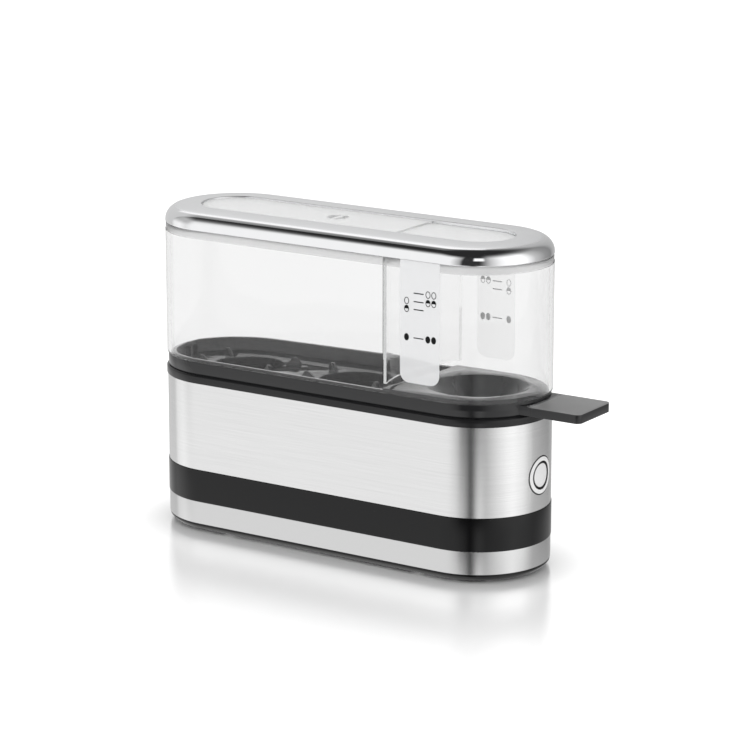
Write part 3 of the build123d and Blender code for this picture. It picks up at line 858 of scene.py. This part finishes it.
seat_z = panel_top - panel_height
ceiling_z = seat_z - ceiling_thickness
recess_z = ceiling_z + recess_depth
hood_section = (
    (0, recess_z),
    (recess_radius, recess_z),
    (recess_radius, ceiling_z),
    (hood_inner, ceiling_z),
    (hood_inner, hood_bottom),
    (hood_radius, hood_bottom),
    (hood_radius, band_z),
    (hood_radius - band_depth, band_z),
    (hood_radius - band_depth, shoulder_z),
    (neck_radius, shoulder_z),
    (neck_radius, seat_z),
    (panel_radius, seat_z),
    (panel_radius, panel_top),
    (0, panel_top),
)
hood = racetrack(
    hood_section,
    (1, moulded_edge),
    (3, inner_bend),
    (4, moulded_edge),
    (5, moulded_edge),
    (6, matt_edge),
    (10, outer_bend),
    (12, panel_edge),
)

partition_bow = 5.5 * mm
partition_wall = 1.8 * mm
partition_setback = 28.1 * mm
partition_gap = 4.0 * mm
wall_sink = 1.0 * mm
ceiling_sink = 0.6 * mm
partition_x = body_x + end_x - partition_setback
partition_bottom = hood_bottom + partition_gap
partition = bmesh.new()
half_chord = hood_inner + wall_sink
bow_radius = (hood_inner**2 + partition_bow**2) / (2 * partition_bow)
bow_centre = partition_x - partition_bow + bow_radius
half_turn = math.asin(half_chord / bow_radius)
foot = []
for reach in (bow_radius - partition_wall / 2, bow_radius + partition_wall / 2):
    foot_x = bow_centre - reach * math.cos(half_turn)
    foot_y = -reach * math.sin(half_turn)
    foot.append(partition.verts.new((foot_x, foot_y, partition_bottom)))
sill = partition.edges.new(foot)
partition_height = ceiling_z + ceiling_sink - partition_bottom
raised = bmesh.ops.extrude_edge_only(partition, edges=[sill])["geom"]
top_points = [item for item in raised if isinstance(item, bmesh.types.BMVert)]
bmesh.ops.translate(partition, verts=top_points, vec=(0, 0, partition_height))
bmesh.ops.spin(
    partition,
    geom=partition.verts[:] + partition.edges[:] + partition.faces[:],
    cent=(bow_centre, 0, 0),
    axis=(0, 0, 1),
    angle=-2 * half_turn,
    steps=40,
)
bmesh.ops.recalc_face_normals(partition, faces=partition.faces[:])
hood = combined(hood, partition, "UNION")

step_depth = 0.9 * mm
step_start = partition_x - partition_bow
step_reach = 120 * mm
step_overrun = 0.2 * mm
step_width = 2 * (panel_radius + step_overrun)
step_tool = bmesh.new()
bmesh.ops.create_cube(step_tool, size=1.0)
bmesh.ops.scale(step_tool, verts=step_tool.verts[:], vec=(step_reach, step_width, 2 * step_depth))
bmesh.ops.translate(step_tool, verts=step_tool.verts[:], vec=(step_start + step_reach / 2, 0, panel_top))
hood = combined(hood, step_tool)

vent_x = body_x - 9.0 * mm
vent_radius = 4.75 * mm
vent_bar = 1.6 * mm
vent_overrun = 5 * mm
vent_low = (vent_x, 0, ceiling_z - vent_overrun)
vent_high = (vent_x, 0, panel_top + vent_overrun)
for side in (-1, 1):
    opening = rod(vent_radius, vent_low, vent_high)
    bmesh.ops.bisect_plane(
        opening,
        geom=opening.verts[:] + opening.edges[:] + opening.faces[:],
        plane_co=(vent_x + side * vent_bar / 2, 0, 0),
        plane_no=(side, 0, 0),
        clear_inner=True,
    )
    bmesh.ops.holes_fill(opening, edges=opening.edges[:], sides=0)
    bmesh.ops.recalc_face_normals(opening, faces=opening.faces[:])
    hood = combined(hood, opening)

clear_plastic = bpy.data.materials.new("clear_moulding")
clear = Shading(clear_plastic)
clear_place = clear.node("TexCoord", output="Object")
clear_z = clear.split(clear_place, "Z")[0]
half_fade = 0.05 * mm
clouding = 0.62
matt_band = clear_z.window(
    band_z - half_fade,
    band_z + half_fade,
    shoulder_z - half_fade,
    shoulder_z + half_fade,
)
matt_top = clear_z.rise(ceiling_z - 0.3 * mm, ceiling_z - 0.1 * mm)
streaks = clear.node("Mapping", None, {"Vector": clear_place, "Scale": (60, 60, 15)})
streaks = clear.node("TexNoise", None, {"Vector": streaks, "Scale": 1.0, "Detail": 2.0})
clear_sockets = {
    "Base Color": clear.blend(matt_band, (0.973, 0.973, 0.973, 1.0), (0.795, 0.795, 0.795, 1.0)),
    "Roughness": 0.025 + 0.02 * streaks + 0.25 * matt_band + 0.12 * matt_top,
    "IOR": 1.38,
    "Transmission Weight": 1.0,
}
see_through = clear.node("BsdfPrincipled", None, clear_sockets)
clouded = clear.node("BsdfPrincipled", None, {"Base Color": (0.93, 0.935, 0.935, 1.0), "Roughness": 0.35})
body_tint = clear.node("VolumeAbsorption", None, {"Color": (0.8, 0.805, 0.805, 1.0), "Density": 34.0})
moulded = clear.node("MixShader", None, (clouding * matt_top, see_through, clouded))
let_through = clear.node("BsdfTransparent", None, {"Color": (0.93, 0.93, 0.93, 1.0)})
clear_surface = clear.node("MixShader", None, (clear.ray("Diffuse"), moulded, let_through))
clear.node("OutputMaterial", None, (clear_surface, body_tint))
fit("hood_moulding", hood, clear_plastic, "hood", "clear_plastic", "hood_shell")


# Measuring scales: a frosted strip on the front and the back wall of the measure. On each, black lines on
# a white undercoat mark the fill levels, and the ovals beside them tell which level to choose.
strip_half = 9.8 * mm
strip_bottom = 84.8 * mm
strip_corner = 4.5 * mm
strip_sheet = 0.05 * mm
strip_sink = 0.02 * mm
ink_sheet = 0.04 * mm
ink_sink = 0.01 * mm
oval_half_width = 1.2 * mm
oval_half_height = 1.55 * mm
ink_line = 0.3 * mm
stroke_width = 0.45 * mm
stroke_left = -3.0 * mm
stroke_right = 1.9 * mm
oval_places = (-6.5 * mm, 4.1 * mm, 6.95 * mm)
# Each row is its height in millimetres, and the kind of oval at each place, if there is one.
scale_rows = (
    (123.7, (None, "empty", "empty")),
    (120.1, ("empty", "half", "half")),
    (116.7, ("half", None, None)),
    (104.5, ("full", "full", "full")),
)


def oval(mesh, x, z, filling):
    """A flat oval in the XZ plane: an outline, an outline with its upper half filled, or a full one."""
    upright = Matrix.Rotation(math.pi / 2, 4, "X")
    made = bmesh.ops.create_circle(mesh, cap_ends=True, segments=28, radius=1.0, matrix=upright)
    points = made["verts"]
    bmesh.ops.scale(mesh, verts=points, vec=(oval_half_width, 1.0, oval_half_height))
    bmesh.ops.translate(mesh, verts=points, vec=(x, 0, z))
    disc = points[0].link_faces[0]
    if filling == "full":
        return
    bmesh.ops.inset_individual(mesh, faces=[disc], thickness=ink_line, use_even_offset=True)
    if filling == "half":
        around = list(disc.verts) + list(disc.edges) + [disc]
        cut = bmesh.ops.bisect_plane(mesh, geom=around, plane_co=(0, 0, z), plane_no=(0, 0, 1))
        seams = [item for item in cut["geom_cut"] if isinstance(item, bmesh.types.BMEdge)]
        halves = {face for seam in seams for face in seam.link_faces}
        disc = min(halves, key=lambda face: face.calc_center_median().z)
    bmesh.ops.delete(mesh, geom=[disc], context="FACES_ONLY")


def stroke(mesh, x, z):
    """A flat level line in the XZ plane, for a row whose middle is at x and z."""
    left = x + stroke_left
    right = x + stroke_right
    low = z - stroke_width / 2
    high = z + stroke_width / 2
    corners = ((left, low), (right, low), (right, high), (left, high))
    mesh.faces.new([mesh.verts.new((across, 0, height)) for across, height in corners])


def lay_on_wall(mesh, side, base, thickness):
    """Give a flat mesh a thickness and set it against the front (-1) or back (1) wall of the hood."""
    made = bmesh.ops.extrude_face_region(mesh, geom=mesh.faces[:])["geom"]
    points = [item for item in made if isinstance(item, bmesh.types.BMVert)]
    bmesh.ops.translate(mesh, verts=points, vec=(0, side * thickness, 0))
    bmesh.ops.translate(mesh, verts=mesh.verts[:], vec=(0, side * (hood_radius + base), 0))
    bmesh.ops.recalc_face_normals(mesh, faces=mesh.faces[:])


def print_finish(name, dark, light, alpha=1.0):
    """The finish of a thin matt print on the hood's wall."""
    return finish(
        name,
        dark,
        light,
        rough=(0.5, 0.6),
        grain=0.25 * mm,
        relief=0.001 * mm,
        specular=0.2,
        alpha=alpha,
    )


scale_ink = print_finish("scale_ink", srgb(4, 4, 5), srgb(8, 8, 9))
undercoat = print_finish("scale_undercoat", srgb(236, 236, 236), srgb(246, 246, 246))
# Front and back: the strip's place from body_x, how much lower its rows are, how opaque the frosting is.
for side, scale_name, centre_x, drop, frost_alpha in (
    (-1, "front", 53.8 * mm, 0.0, 0.63),
    (1, "back", 53.1 * mm, 2.3 * mm, 0.07),
):
    frosted = print_finish(f"{scale_name}_frost", srgb(250, 251, 252), srgb(254, 254, 255), frost_alpha)
    strip = bmesh.new()
    middle = body_x + centre_x
    left, right = middle - strip_half, middle + strip_half
    outline = ((left, strip_bottom), (right, strip_bottom), (right, shoulder_z), (left, shoulder_z))
    strip_corners = [strip.verts.new((x, 0, z)) for x, z in outline]
    strip.faces.new(strip_corners)
    round_corners(strip, strip_corners[:2], radius=strip_corner, segments=10)
    lay_on_wall(strip, side, -strip_sink, strip_sheet + strip_sink)
    fit(f"{scale_name}_frosting", strip, frosted, "hood", "clear_plastic")
    marks = bmesh.new()
    for height, fillings in scale_rows:
        row_z = height * mm - drop
        stroke(marks, middle, row_z)
        for offset, filling in zip(oval_places, fillings):
            if filling:
                oval(marks, middle + offset, row_z, filling)
    if side > 0:
        to_middle = Matrix.Translation((-middle, 0, 0))
        bmesh.ops.scale(marks, verts=marks.verts[:], vec=(-1, 1, 1), space=to_middle)
    lay_on_wall(marks, side, strip_sheet - ink_sink, ink_sheet + ink_sink)
    for face in marks.faces:
        face.material_index = 1 if face.normal.y * side < -0.5 else 0
    printed = fit(f"{scale_name}_marks", marks, scale_ink, "hood", "black_plastic")
    printed.data.materials.append(undercoat)


# Chrome ring: a plated moulding pressed over the hood's shoulder, with a round outer edge and a crown that
# rises a little to the clear panel.
chrome_low, chrome_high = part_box("chrome_ring")
chrome_radius = (chrome_high[1] - chrome_low[1]) / 2
chrome_bottom = chrome_low[2]
chrome_top = chrome_high[2]
chrome_inner = 15.5 * mm
chrome_wall = 1.3 * mm
chrome_bend = 6.0 * mm
chrome_crown = 0.8 * mm
chrome_inner_bend = 4.8 * mm
chrome_inner_edge = 0.5 * mm
chrome_lip = 0.3 * mm
crown_start = chrome_top - chrome_crown
chrome_section = (
    (chrome_radius - chrome_wall, chrome_bottom),
    (chrome_radius, chrome_bottom),
    (chrome_radius, crown_start),
    (chrome_inner, chrome_top),
    (chrome_inner, seat_z),
    (chrome_radius - chrome_wall, seat_z),
)
chrome = bpy.data.materials.new("chrome_plating")
plating = Shading(chrome)
plating_place = plating.node("TexCoord", output="Object")
haze = plating.node("TexNoise", None, {"Vector": plating_place, "Scale": 140.0, "Detail": 3.0})
plating_z = plating.split(plating_place, "Z")[0]
on_crown = plating_z.rise(crown_start - 0.15 * mm, crown_start + 0.05 * mm)
plating_sockets = {
    "Base Color": plating.blend(haze, srgb(238, 239, 240), srgb(244, 244, 245)),
    "Roughness": 0.05 + 0.03 * haze + 0.22 * on_crown,
    "Metallic": 1.0,
}
plating.principled(plating_sockets)
chrome_mesh = racetrack(
    chrome_section,
    (1, chrome_lip),
    (2, chrome_bend),
    (3, chrome_inner_edge),
    (5, chrome_inner_bend),
)
fit("chrome_moulding", chrome_mesh, chrome, "hood", "chrome", "chrome_ring")
